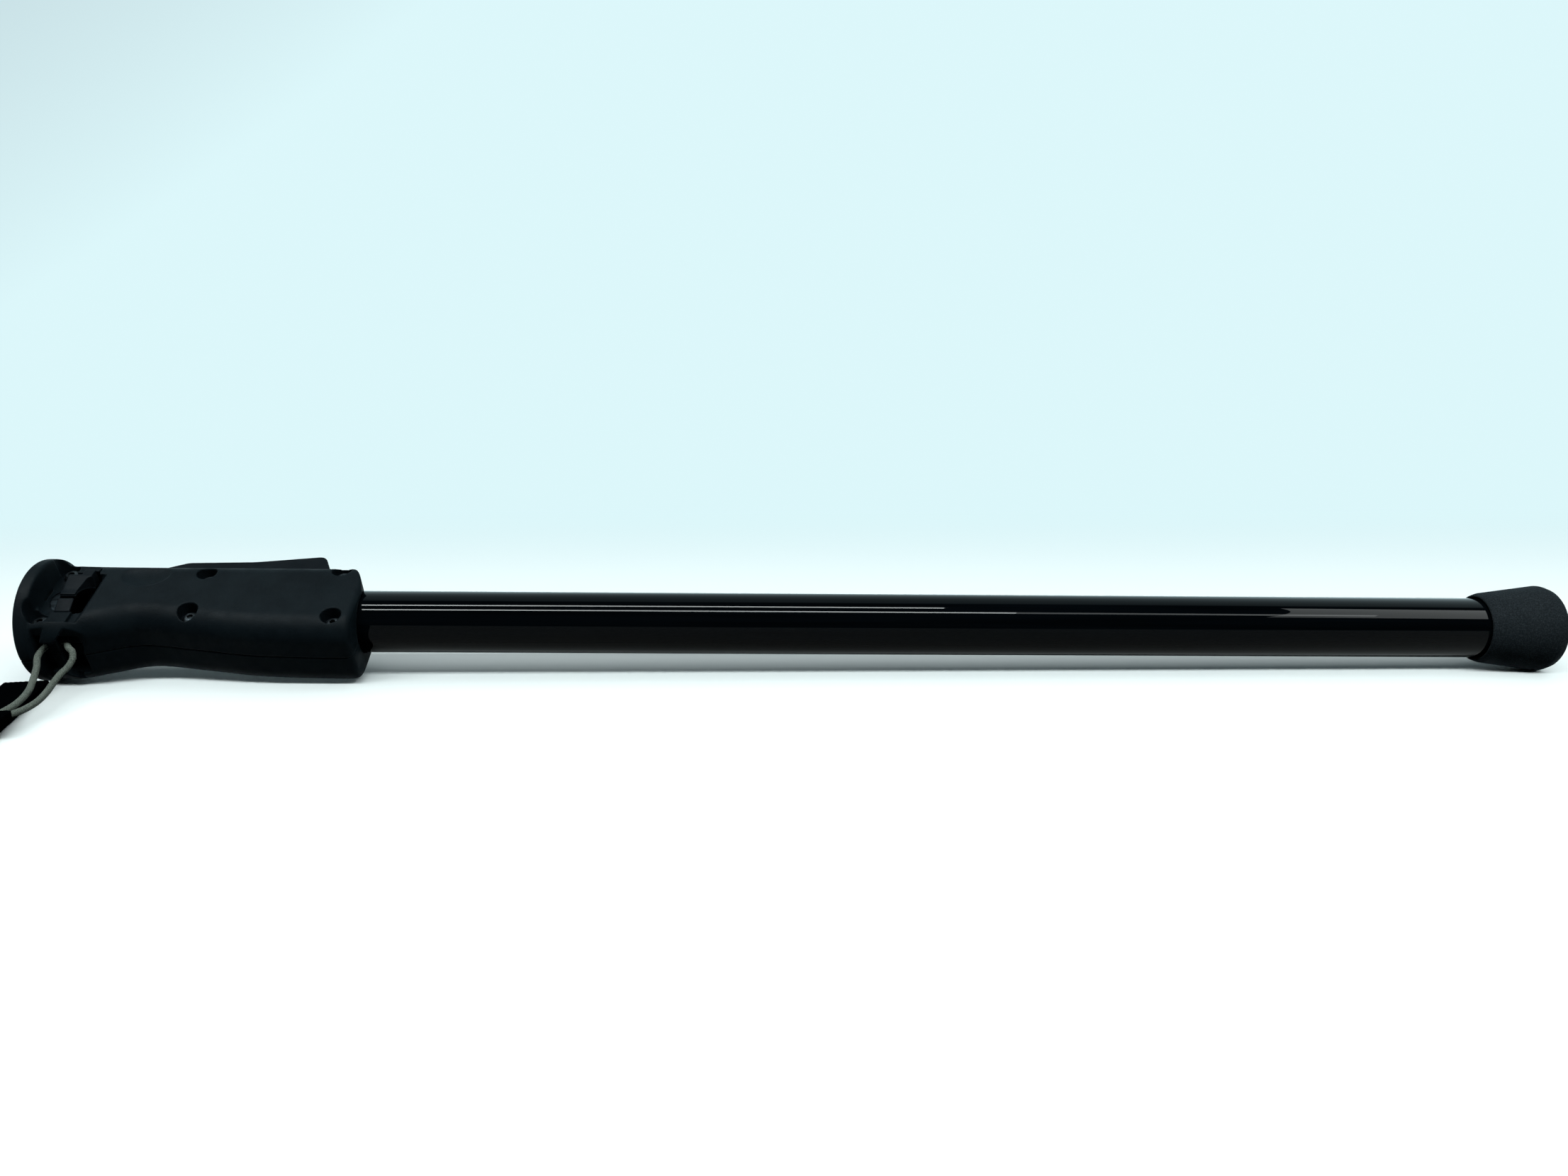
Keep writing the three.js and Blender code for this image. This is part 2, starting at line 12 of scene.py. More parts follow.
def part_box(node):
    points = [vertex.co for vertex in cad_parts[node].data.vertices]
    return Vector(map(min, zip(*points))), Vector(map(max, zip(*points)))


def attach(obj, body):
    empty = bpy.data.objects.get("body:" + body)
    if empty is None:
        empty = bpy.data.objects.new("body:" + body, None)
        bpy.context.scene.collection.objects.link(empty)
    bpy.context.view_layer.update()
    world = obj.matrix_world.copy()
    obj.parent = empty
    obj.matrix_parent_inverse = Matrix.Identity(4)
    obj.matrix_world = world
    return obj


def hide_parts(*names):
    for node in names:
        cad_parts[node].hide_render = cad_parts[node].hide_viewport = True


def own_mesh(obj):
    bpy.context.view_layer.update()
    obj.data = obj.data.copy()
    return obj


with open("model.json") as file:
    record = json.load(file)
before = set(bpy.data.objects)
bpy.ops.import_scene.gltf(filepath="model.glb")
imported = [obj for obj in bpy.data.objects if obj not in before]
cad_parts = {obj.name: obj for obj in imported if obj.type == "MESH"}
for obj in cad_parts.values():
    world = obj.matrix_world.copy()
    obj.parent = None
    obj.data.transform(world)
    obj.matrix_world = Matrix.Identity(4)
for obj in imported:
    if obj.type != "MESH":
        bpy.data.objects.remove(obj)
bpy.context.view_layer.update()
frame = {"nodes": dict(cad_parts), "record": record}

# ---------------------------------------------------------------- the pole's own frame
# Lengths on the pole are in millimetres: x from the head face along the axis, y towards the
# trigger, z out of the near grip shell. The pole is rolled about its axis by ROLL.
MM = 0.001
ROLL = math.radians(28)
TURN = 2 * math.pi

head_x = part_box("near_grip_shell")[0].x
foot_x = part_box("rubber_foot")[1].x
tube_low, tube_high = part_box("outer_tube")
axis_y = (tube_low.y + tube_high.y) / 2
axis_z = (tube_low.z + tube_high.z) / 2
pole_frame = (
    Matrix.Translation((head_x, axis_y, axis_z))
    @ Matrix.Rotation(ROLL, 4, "X")
    @ Matrix.Scale(MM, 4)
)

FLANGE_RADIUS = axis_z / MM
FLANGE_THICKNESS = 7
GRIP_END = 161
GRIP_HALF_WIDTH = 20.3
GRIP_CORNER = 11
TAIL_ROUND = 3
SEAM = 0.15

OUTER_TUBE = {"radius": 15.875, "bore": 14.375, "start": 88, "end": 767}
MIDDLE_TUBE = {"radius": 12.7, "bore": 11.5, "start": 112, "end": 765}
LOWER_TUBE = {"radius": 9.525, "bore": 8.4, "start": 140, "end": 778.6}

PIVOT = (46, 19)
SCREW_PLACES = [(9.5, -18.2), (9.5, 18.2), (80.6, -14.2), (80.6, 14.2), (151.4, -17.6), (147.7, 17.6)]
SCREW_SEAT = 13.3

# ---------------------------------------------------------------- camera
CAMERA_PLACE = (352.7, -605.55, 145.38)  # from the head face and the pole's axis, not rolled
CAMERA_YAW = math.radians(2.245)
CAMERA_PITCH = math.radians(-11.765)
CAMERA_ROLL = math.radians(0.845)
CAMERA_LENS = 27.32


def make_camera():
    data = bpy.data.cameras.new("camera")
    data.lens = CAMERA_LENS
    data.sensor_width = 36
    data.clip_start = 0.01
    camera = bpy.data.objects.new("camera", data)
    bpy.context.scene.collection.objects.link(camera)
    x, y, z = CAMERA_PLACE
    camera.location = (head_x + x * MM, axis_y + y * MM, axis_z + z * MM)
    ahead = Vector((
        math.sin(CAMERA_YAW) * math.cos(CAMERA_PITCH),
        math.cos(CAMERA_YAW) * math.cos(CAMERA_PITCH),
        math.sin(CAMERA_PITCH),
    ))
    level_right = Vector((math.cos(CAMERA_YAW), -math.sin(CAMERA_YAW), 0))
    level_up = level_right.cross(ahead)
    right = level_right * math.cos(CAMERA_ROLL) + level_up * math.sin(CAMERA_ROLL)
    up = level_up * math.cos(CAMERA_ROLL) - level_right * math.sin(CAMERA_ROLL)
    camera.rotation_euler = Matrix((right, up, -ahead)).transposed().to_euler()
    bpy.context.scene.camera = camera


make_camera()


# ---------------------------------------------------------------- node materials
def new_material(name, base_color, roughness, inputs=()):
    material = bpy.data.materials.new(name)
    material.use_nodes = True
    shader = material.node_tree.nodes["Principled BSDF"]
    shader.inputs["Base Color"].default_value = (*base_color, 1)
    shader.inputs["Roughness"].default_value = roughness
    for key, value in dict(inputs).items():
        shader.inputs[key].default_value = value
    return material, material.node_tree, shader


def add_node(tree, kind, **settings):
    node = tree.nodes.new(kind)
    for key, value in settings.items():
        if key in node.inputs:
            node.inputs[key].default_value = value
        else:
            setattr(node, key, value)
    return node


def place_of(tree, stretch=(1, 1, 1)):
    """Object coordinates, which are metres on every piece here, stretched along its axes."""
    coordinates = add_node(tree, "ShaderNodeTexCoord")
    mapping = add_node(tree, "ShaderNodeMapping")
    mapping.inputs["Scale"].default_value = stretch
    tree.links.new(coordinates.outputs["Object"], mapping.inputs["Vector"])
    return mapping.outputs["Vector"]


def noise(tree, scale, detail=3, stretch=(1, 1, 1)):
    node = add_node(tree, "ShaderNodeTexNoise", Scale=scale, Detail=detail)
    tree.links.new(place_of(tree, stretch), node.inputs["Vector"])
    return node.outputs["Fac"]


def ramp(tree, value, low, high, start=0.35, end=0.65):
    """Turns a grey value into one between two numbers or two colours."""
    node = add_node(tree, "ShaderNodeValToRGB")
    colors = [c if hasattr(c, "__len__") else (c, c, c) for c in (low, high)]
    for element, place, color in zip(node.color_ramp.elements, (start, end), colors):
        element.position = place
        element.color = (*color, 1)
    tree.links.new(value, node.inputs["Fac"])
    return node.outputs["Color"]


def bump(tree, height, distance, strength=1, under=None):
    node = add_node(tree, "ShaderNodeBump", Strength=strength, Distance=distance)
    tree.links.new(height, node.inputs["Height"])
    if under is not None:
        tree.links.new(under, node.inputs["Normal"])
    return node.outputs["Normal"]


def worn_edges(tree, color, worn, amount):
    """Mixes a worn colour in where the surface is sharply convex."""
    geometry = add_node(tree, "ShaderNodeNewGeometry")
    edge = ramp(tree, geometry.outputs["Pointiness"], 0.0, amount, 0.52, 0.62)
    mix = add_node(tree, "ShaderNodeMix", data_type="RGBA")
    tree.links.new(edge, mix.inputs["Factor"])
    tree.links.new(color, mix.inputs[6])
    mix.inputs[7].default_value = (*worn, 1)
    return mix.outputs[2]


def moulded_plastic(name, dark, light, roughness, grain, depth, specular=0.012):
    """Black moulding with a spark-eroded grain and faint handling marks."""
    material, tree, shader = new_material(name, dark, roughness, {"Specular IOR Level": specular})
    tint = ramp(tree, noise(tree, 60, 4), dark, light)
    tree.links.new(worn_edges(tree, tint, (0.016, 0.021, 0.025), 0.3), shader.inputs["Base Color"])
    shine = ramp(tree, noise(tree, 130, 5), roughness - 0.07, roughness + 0.07)
    tree.links.new(shine, shader.inputs["Roughness"])
    coarse = bump(tree, noise(tree, grain * 0.35, 2), depth * 0.8, 0.5)
    tree.links.new(bump(tree, noise(tree, grain, 3), depth, 0.9, coarse), shader.inputs["Normal"])
    return material


def gloss_tube(name, color, coat):
    """Gloss black anodised tube, drawn lengthwise, under a clear coat."""
    clear_coat = {"Coat Weight": coat, "Coat IOR": 1.12, "Specular IOR Level": 0.0}
    material, tree, shader = new_material(name, color, 0.28, clear_coat)
    tint = ramp(tree, noise(tree, 420, 3, (0.02, 1, 1)), color, tuple(c * 1.7 for c in color))
    tree.links.new(tint, shader.inputs["Base Color"])
    smear = ramp(tree, noise(tree, 45, 5, (0.25, 1, 1)), 0.01, 0.035)
    tree.links.new(smear, shader.inputs["Coat Roughness"])
    lines = bump(tree, noise(tree, 900, 2, (0.01, 1, 1)), 0.000012, 0.5)
    tree.links.new(lines, shader.inputs["Normal"])
    return material


def speckled_rubber(name):
    """Matte moulded rubber with a fine dusty speckle."""
    dark, light = (0.0085, 0.0125, 0.0155), (0.021, 0.029, 0.034)
    material, tree, shader = new_material(name, dark, 0.82, {"Specular IOR Level": 0.03})
    dust = ramp(tree, noise(tree, 1500, 2), dark, light, 0.42, 0.72)
    tree.links.new(worn_edges(tree, dust, (0.03, 0.036, 0.04), 0.3), shader.inputs["Base Color"])
    cloud = ramp(tree, noise(tree, 90, 4), 0.74, 0.9)
    tree.links.new(cloud, shader.inputs["Roughness"])
    tree.links.new(bump(tree, noise(tree, 1100, 3), 0.00012, 0.8), shader.inputs["Normal"])
    return material


def brushed_metal(name, color, roughness, stretch):
    """Metal with fine marks, which the stretch draws out round the part or along it."""
    material, tree, shader = new_material(name, color, roughness, {"Metallic": 1.0})
    marks = noise(tree, 700, 3, stretch)
    dim = tuple(c * 0.65 for c in color)
    tree.links.new(ramp(tree, marks, dim, color), shader.inputs["Base Color"])
    shine = ramp(tree, marks, roughness - 0.08, roughness + 0.1)
    tree.links.new(shine, shader.inputs["Roughness"])
    tree.links.new(bump(tree, marks, 0.00001, 0.5), shader.inputs["Normal"])
    return material


def braided_fibre(name):
    """Grey-cream polyester braid; its ribs are geometry, and its finer yarns are here."""
    dark, light = (0.045, 0.058, 0.048), (0.16, 0.19, 0.16)
    material, tree, shader = new_material(
        name, light, 0.9, {"Specular IOR Level": 0.1, "Sheen Weight": 0.05}
    )
    yarn = ramp(tree, noise(tree, 2600, 3), dark, light, 0.3, 0.62)
    tree.links.new(yarn, shader.inputs["Base Color"])
    tree.links.new(bump(tree, noise(tree, 5200, 2), 0.00008, 0.7), shader.inputs["Normal"])
    return material


def woven_webbing(name):
    """Black nylon webbing; the ribs are geometry and the yarns are here."""
    dark, light = (0.0002, 0.0005, 0.0008), (0.0012, 0.002, 0.0026)
    material, tree, shader = new_material(name, dark, 0.8, {"Specular IOR Level": 0.0})
    yarn = ramp(tree, noise(tree, 2400, 3), dark, light, 0.35, 0.7)
    tree.links.new(yarn, shader.inputs["Base Color"])
    tree.links.new(bump(tree, noise(tree, 4200, 2), 0.0001, 0.8), shader.inputs["Normal"])
    return material


GRIP_PLASTIC = moulded_plastic(
    "grip_plastic", (0.0036, 0.0066, 0.0088), (0.0060, 0.0102, 0.0130), 0.5, 2300, 0.00012
)
TRIGGER_PLASTIC = moulded_plastic(
    "trigger_plastic", (0.0046, 0.0072, 0.0096), (0.0075, 0.0108, 0.0138), 0.46, 3200, 0.00006
)
SHADED_PLASTIC = moulded_plastic(
    "shaded_plastic", (0, 0, 0), (0.0004, 0.0005, 0.0006), 0.6, 1600, 0.00003, specular=0
)
ACETAL = moulded_plastic("acetal", (0.02, 0.02, 0.021), (0.03, 0.03, 0.032), 0.42, 1600, 0.00003)
BLACK_TUBE = gloss_tube("black_tube", (0.0008, 0.0014, 0.002), 1.0)
INNER_TUBE = gloss_tube("inner_tube", (0.01, 0.011, 0.012), 0.5)
RUBBER = speckled_rubber("rubber")
DARK_STEEL = brushed_metal("dark_steel", (0.012, 0.015, 0.017), 0.42, (1, 0.15, 0.15))
ALLOY = brushed_metal("alloy", (0.012, 0.016, 0.019), 0.45, (0.1, 1, 1))
BRAID = braided_fibre("braid")
WEBBING = woven_webbing("webbing")
MATERIAL_OF_SLOT = {
    "grip_plastic": GRIP_PLASTIC,
    "trigger_plastic": TRIGGER_PLASTIC,
    "acetal": ACETAL,
    "black_tube": BLACK_TUBE,
    "inner_tube": INNER_TUBE,
    "rubber": RUBBER,
    "dark_steel": DARK_STEEL,
    "alloy": ALLOY,
    "cord": BRAID,
    "webbing": WEBBING,
}
SLOT_OF_NODE = {part["node"]: part["material_slot"] for part in frame["record"]["subparts"]}
BODY_OF_NODE = {
    node: body
    for body, nodes in frame["record"]["behaviour"]["bodies"].items()
    for node in nodes
}


# ---------------------------------------------------------------- mesh helpers
def mesh_object(name, vertices, faces):
    mesh = bpy.data.meshes.new(name)
    mesh.from_pydata([tuple(map(float, v)) for v in vertices], [], faces)
    piece = bpy.data.objects.new(name, mesh)
    bpy.context.scene.collection.objects.link(piece)
    return piece


def outward(piece):
    """Turns all faces of a closed mesh to point out."""
    work = bmesh.new()
    work.from_mesh(piece.data)
    bmesh.ops.remove_doubles(work, verts=work.verts, dist=1e-5)
    bmesh.ops.recalc_face_normals(work, faces=work.faces)
    work.to_mesh(piece.data)
    work.free()
    return piece


def loft(name, rings):
    """A closed skin through rings of the same number of points, with a cap at each end."""
    count = len(rings[0])
    vertices = [point for ring in rings for point in ring]
    faces = [tuple(range(count)), tuple(range(len(vertices) - count, len(vertices)))]
    for r in range(len(rings) - 1):
        for i in range(count):
            j = (i + 1) % count
            a, b = r * count, (r + 1) * count
            faces.append((a + i, a + j, b + j, b + i))
    return outward(mesh_object(name, vertices, faces))


def fillet(corners, steps=6):
    """An outline through (x, y, radius) corners, each rounded by an arc of its radius."""
    points = []
    count = len(corners)
    for i, (x, y, radius) in enumerate(corners):
        here = Vector((x, y))
        if radius <= 0:
            points.append((x, y))
            continue
        before = (Vector(corners[i - 1][:2]) - here).normalized()
        after = (Vector(corners[(i + 1) % count][:2]) - here).normalized()
        half = before.angle(after) / 2
        reach = radius / math.tan(half)
        centre = here + (before + after).normalized() * (radius / math.sin(half))
        start = here + before * reach - centre
        sweep = (here + after * reach - centre).angle_signed(start)
        for k in range(steps + 1):
            turn = sweep * k / steps
            c, s = math.cos(turn), math.sin(turn)
            points.append((
                centre.x + start.x * c - start.y * s,
                centre.y + start.x * s + start.y * c,
            ))
    return points


def round_rect(x0, x1, y0, y1, radii, steps=10):
    """A rectangle with corner radii given for (x0,y0), (x1,y0), (x1,y1), (x0,y1)."""
    corners = [(x0, y0), (x1, y0), (x1, y1), (x0, y1)]
    return fillet([(x, y, r) for (x, y), r in zip(corners, radii)], steps)


def lathe(name, outline, segments=160):
    """Turns a closed outline of (x, radius) points about the x axis."""
    count = len(outline)
    vertices = []
    for k in range(segments):
        angle = TURN * k / segments
        for x, r in outline:
            vertices.append((x, r * math.cos(angle), r * math.sin(angle)))
    faces = []
    for k in range(segments):
        a, b = k * count, ((k + 1) % segments) * count
        for i in range(count):
            j = (i + 1) % count
            faces.append((a + i, a + j, b + j, b + i))
    return outward(mesh_object(name, vertices, faces))


def along_x(name, outline, x0, x1):
    """An outline in y and z, pushed along x."""
    return loft(name, [[(x, y, z) for y, z in outline] for x in (x0, x1)])


def along_y(name, outline, y0, y1):
    """An outline in x and z, pushed along y."""
    return loft(name, [[(x, y, z) for x, z in outline] for y in (y0, y1)])


def along_z(name, outline, z0, z1):
    """An outline in x and y, pushed along z."""
    return loft(name, [[(x, y, z) for x, y in outline] for z in (z0, z1)])


def block(name, x0, x1, y0, y1, z0, z1):
    return along_z(name, [(x0, y0), (x1, y0), (x1, y1), (x0, y1)], z0, z1)


def circle(radius, x=0, y=0, segments=64):
    angles = [TURN * k / segments for k in range(segments)]
    return [(x + radius * math.cos(a), y + radius * math.sin(a)) for a in angles]


def bar_z(name, radius, x, y, z0, z1, segments=64):
    return along_z(name, circle(radius, x, y, segments), z0, z1)


def bar_x(name, radius, x0, x1):
    return along_x(name, circle(radius, segments=96), x0, x1)


def mirrored(piece):
    """A copy of the piece on the far side of the seam."""
    twin = piece.copy()
    twin.data = piece.data.copy()
    bpy.context.scene.collection.objects.link(twin)
    twin.data.transform(Matrix.Scale(-1, 4, (0, 0, 1)))
    twin.data.flip_normals()
    return twin


def apply_modifiers(piece):
    graph = bpy.context.evaluated_depsgraph_get()
    made = bpy.data.meshes.new_from_object(piece.evaluated_get(graph))
    piece.modifiers.clear()
    piece.data = made
    return piece


def boolean(piece, tools, operation="DIFFERENCE"):
    """Joins or cuts the piece by each tool in turn, and removes the tools."""
    for tool in tools:
        modifier = piece.modifiers.new("boolean", "BOOLEAN")
        modifier.operation = operation
        modifier.solver = "MANIFOLD"
        modifier.object = tool
        apply_modifiers(piece)
        bpy.data.objects.remove(tool)
    return piece


def soften(piece, voxel, passes):
    """Rounds every edge a little, as a mould does, by remeshing and smoothing."""
    remesh = piece.modifiers.new("remesh", "REMESH")
    remesh.mode = "VOXEL"
    remesh.voxel_size = voxel
    smooth = piece.modifiers.new("smooth", "SMOOTH")
    smooth.factor = 0.5
    smooth.iterations = passes
    return apply_modifiers(piece)


def finish_piece(piece, node, in_pole_frame=True):
    """Puts a piece in its place, gives it its material, and lets it stand for its CAD node."""
    if in_pole_frame:
        piece.data.transform(pole_frame)
    slot = SLOT_OF_NODE[node]
    piece.data.materials.clear()
    piece.data.materials.append(MATERIAL_OF_SLOT[slot])
    piece.data.shade_smooth()
    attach(piece, BODY_OF_NODE[node])
    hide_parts(node)
    return piece


def sharp_edges(piece, degrees=35):
    """Keeps the edges of a turned or cut piece crisp under smooth shading."""
    piece.data.set_sharp_from_angle(angle=math.radians(degrees))
    return piece


def spline(points, count, centripetal=True):
    """A Catmull-Rom curve through the points, as evenly spaced points."""
    p = np.array(points, float)
    p = np.vstack([2 * p[0] - p[1], p, 2 * p[-1] - p[-2]])
    power = 0.5 if centripetal else 0.0
    fine = []
    for a, b, c, d in zip(p[:-3], p[1:-2], p[2:-1], p[3:]):
        t0 = 0.0
        t1 = t0 + np.linalg.norm(b - a) ** power
        t2 = t1 + np.linalg.norm(c - b) ** power
        t3 = t2 + np.linalg.norm(d - c) ** power
        t = np.linspace(t1, t2, 24, endpoint=False)[:, None]
        ab = (t1 - t) / (t1 - t0) * a + (t - t0) / (t1 - t0) * b
        bc = (t2 - t) / (t2 - t1) * b + (t - t1) / (t2 - t1) * c
        cd = (t3 - t) / (t3 - t2) * c + (t - t2) / (t3 - t2) * d
        abc = (t2 - t) / (t2 - t0) * ab + (t - t0) / (t2 - t0) * bc
        bcd = (t3 - t) / (t3 - t1) * bc + (t - t1) / (t3 - t1) * cd
        fine.append((t2 - t) / (t2 - t1) * abc + (t - t1) / (t2 - t1) * bcd)
    line = np.vstack([*fine, p[-2:-1]])
    along = np.concatenate([[0], np.cumsum(np.linalg.norm(np.diff(line, axis=0), axis=1))])
    at = np.linspace(0, along[-1], count)
    return np.stack([np.interp(at, along, line[:, k]) for k in range(line.shape[1])], axis=1)


def line_length(line):
    """The length of a line of points."""
    return float(np.linalg.norm(np.diff(line, axis=0), axis=1).sum())


# ---------------------------------------------------------------- the lanyard cord
# The route is in metres: x from the head face, y from the pole's axis, z above the floor.
CORD_DIAMETER = 0.0032
CORD_ROUTE = [
    (0.0226, -0.0845, 0.0076),
    (0.0223, -0.0700, 0.0082),
    (0.0197, -0.0560, 0.0098),
    (0.0148, -0.0430, 0.0116),
    (0.0118, -0.0340, 0.0154),
    (0.0098, -0.0285, 0.0196),
    (0.0106, -0.0243, 0.0224),
    (0.0126, -0.0210, 0.0242),
    (0.0165, -0.0199, 0.0250),
    (0.0204, -0.0214, 0.0248),
    (0.0226, -0.0251, 0.0240),
    (0.0250, -0.0281, 0.0233),
    (0.0276, -0.0304, 0.0224),
    (0.0286, -0.0324, 0.0196),
    (0.0280, -0.0354, 0.0166),
    (0.0268, -0.0410, 0.0140),
    (0.0274, -0.0490, 0.0116),
    (0.0294, -0.0590, 0.0098),
    (0.0304, -0.0690, 0.0084),
    (0.0294, -0.0780, 0.0076),
    (0.0270, -0.0850, 0.0074),
]
RIB_PITCH = 0.00135
RIB_DEPTH = 0.0003
STRANDS = 9
RINGS_PER_RIB = 8


def braided_cord(name, route, diameter):
    """A round cord whose cover is wound in close ribs, each rib made of short slanting yarns."""
    points = [(head_x + x, axis_y + y, z) for x, y, z in route]
    length = line_length(spline(points, 400))
    line = spline(points, int(length / (RIB_PITCH / RINGS_PER_RIB)))
    step = length / (len(line) - 1)
    ahead = np.gradient(line, axis=0)
    ahead /= np.linalg.norm(ahead, axis=1)[:, None]
    side = np.cross(ahead[0], (0, 0, 1))
    rings = []
    for i, (centre, direction) in enumerate(zip(line, ahead)):
        side = side - direction * np.dot(side, direction)
        side /= np.linalg.norm(side)
        over = np.cross(direction, side)
        along = TURN * i * step / RIB_PITCH
        ring = []
        for x, y in circle(1, segments=36):
            angle = math.atan2(y, x)
            groove = (0.5 - 0.5 * math.cos(along + angle)) ** 3
            yarn = 0.25 * abs(math.sin(angle * STRANDS / 2 + along / 4))
            radius = diameter / 2 - RIB_DEPTH * max(groove, 0.3 - yarn)
            ring.append(centre + radius * (x * side + y * over))
        rings.append(ring)
    piece = loft(name, rings)
    finish_piece(piece, "lanyard_cord", in_pole_frame=False)
    return piece, line, length


cord, cord_line, cord_length = braided_cord("lanyard_cord_braid", CORD_ROUTE, CORD_DIAMETER)


# ---------------------------------------------------------------- wrist strap and keeper
STRAP_WIDTH = 20
STRAP_LENGTH = 150  # of the flat loop, so the webbing is about twice as long
STRAP_HEIGHT = 4.4
STRAP_LIFT = 0.3
STRAP_START = (-2, -20)
STRAP_HEADING = math.radians(-76)
WEB_THICKNESS = 1.6
SELVEDGE = 0.8
KEEPER_TURN = math.radians(8)
WEB_RIB = {"height": 0.09, "pitch": 1.5, "width": 1.1}
strap_frame = (
    Matrix.Translation((head_x + STRAP_START[0] * MM, axis_y + STRAP_START[1] * MM, 0))
    @ Matrix.Rotation(STRAP_HEADING, 4, "Z")
    @ Matrix.Scale(MM, 4)
)


def half_turn(x, z, radius, start):
    angles = np.linspace(start, start + math.pi, 13)
    return [(x + radius * math.cos(a), z + radius * math.sin(a)) for a in angles]


def strap_middle():
    """The middle line of the webbing, once round its flat loop, in millimetres along and up."""
    half = STRAP_HEIGHT / 2
    turn = half - WEB_THICKNESS / 2
    level = STRAP_LIFT + half
    near, far = half, STRAP_LENGTH - half
    lower = [(x, level - turn) for x in np.arange(near, far, 0.5)]
    upper = [(x, level + turn) for x in np.arange(far, near, -0.5)]
    far_bend = half_turn(far, level, turn, -math.pi / 2)
    near_bend = half_turn(near, level, turn, math.pi / 2)
    return lower + far_bend + upper + near_bend


def webbing_loop():
    """A closed band: ribs run across the webbing, and its edges are rounded selvedges."""
    middle = np.array(strap_middle())
    ahead = np.roll(middle, -1, axis=0) - np.roll(middle, 1, axis=0)
    ahead /= np.linalg.norm(ahead, axis=1)[:, None]
    normal = np.stack([ahead[:, 1], -ahead[:, 0]], axis=1)
    along = np.concatenate([[0], np.cumsum(np.linalg.norm(np.diff(middle, axis=0), axis=1))])
    across = []
    half = STRAP_WIDTH / 2
    columns = 44
    for side in (1, -1):
        for k in range(columns):
            y = side * half * (2 * k / (columns - 1) - 1)
            edge = min(1.0, (half - abs(y)) / SELVEDGE)
            fullness = math.sqrt(max(0.05, 1 - (1 - edge) ** 2))
            across.append((y, side * WEB_THICKNESS / 2 * fullness))
    rings = []
    for (x, z), (nx, nz), s in zip(middle, normal, along):
        ring = []
        for y, out in across:
            offset = math.pi * (round(y / WEB_RIB["width"]) % 2)
            rib = WEB_RIB["height"] * math.sin(TURN * s / WEB_RIB["pitch"] + offset)
            reach = out * (1 + rib)
            ring.append((x + nx * reach, y, z + nz * reach))
        rings.append(ring)
    count, total = len(across), len(rings)
    vertices = [point for ring in rings for point in ring]
    faces = []
    for r in range(total):
        for i in range(count):
            a, b = r * count, ((r + 1) % total) * count
            faces.append((a + i, a + (i + 1) % count, b + (i + 1) % count, b + i))
    piece = outward(mesh_object("wrist_strap_webbing", vertices, faces))
    piece.data.transform(strap_frame)
    finish_piece(piece, "wrist_strap", in_pole_frame=False)
    return piece, float(along[-1]) * MM


strap, strap_length = webbing_loop()


def cord_keeper():
    """A stitched, rounded tab that holds the cord's two ends on the strap."""
    low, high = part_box("cord_keeper")
    centre = (low + high) / 2
    piece = along_z("cord_keeper_tab", round_rect(-6.5, 6.5, -7.5, 7.5, (1.8,) * 4, 6), -2.5, 2.5)
    grooves = []
    for y in (-4.6, 4.6):
        groove = bar_x("groove", 0.55, -9, 9)
        groove.data.transform(Matrix.Translation((0, y, 2.6)))
        grooves.append(groove)
    boolean(piece, grooves)
    soften(piece, 0.28, 5)
    turn = Matrix.Rotation(KEEPER_TURN, 4, "Z")
    piece.data.transform(Matrix.Translation(centre) @ turn @ Matrix.Scale(MM, 4))
    finish_piece(piece, "cord_keeper", in_pole_frame=False)
    return piece


keeper = cord_keeper()


# ---------------------------------------------------------------- grip shells
PALM_SIDE = [
    (5, 27.4), (21, 28.8), (37, 24.2), (56, 19.3), (82, 22.4), (112, 26.5), (150, 28), (161, 27.6)
]
TRIGGER_SIDE = [(5, 26.8), (18, 25.4), (60, 24.9), (161, 24.9)]


def side_curve(stations):
    """The distance from the pole's axis to one side of the grip, at any x."""
    line = spline(stations, 400, centripetal=False)
    return lambda x: float(np.interp(x, line[:, 0], line[:, 1]))


palm_side = side_curve(PALM_SIDE)
trigger_side = side_curve(TRIGGER_SIDE)


def grip_section(x, inset):
    """The grip's rounded outline at x, drawn in by the inset."""
    palm = palm_side(x) - inset
    front = trigger_side(x) - inset
    half = GRIP_HALF_WIDTH - inset
    r = GRIP_CORNER - inset * 0.6
    corners = [
        (front - r, half - r, 0),
        (r - palm, half - r, 90),
        (r - palm, r - half, 180),
        (front - r, r - half, 270),
    ]
    ring = []
    for y, z, start in corners:
        for k in range(15):
            angle = math.radians(start + 90 * k / 14)
            ring.append((x, y + r * math.cos(angle), z + r * math.sin(angle)))
    return ring


def grip_body():
    """The solid grip behind the flange, with its tail end rounded."""
    rings = [grip_section(x, 0) for x in np.arange(5, 158, 1.5)]
    for k in range(9):
        angle = math.radians(90 * k / 8)
        x = GRIP_END - TAIL_ROUND + TAIL_ROUND * math.sin(angle)
        rings.append(grip_section(x, TAIL_ROUND * (1 - math.cos(angle))))
    return loft("grip_body", rings)


def flange():
    """The round head flange, a solid disc until the bores are cut."""
    r, t = FLANGE_RADIUS, FLANGE_THICKNESS
    outline = fillet([
        (0, 0.001, 0),
        (0, r, 1.4),
        (t - 1.0, r, 1.6),
        (t + 1.4, r - 4.5, 1.2),
        (t + 1.4, 0.001, 0),
    ])
    return lathe("flange", outline, 192)


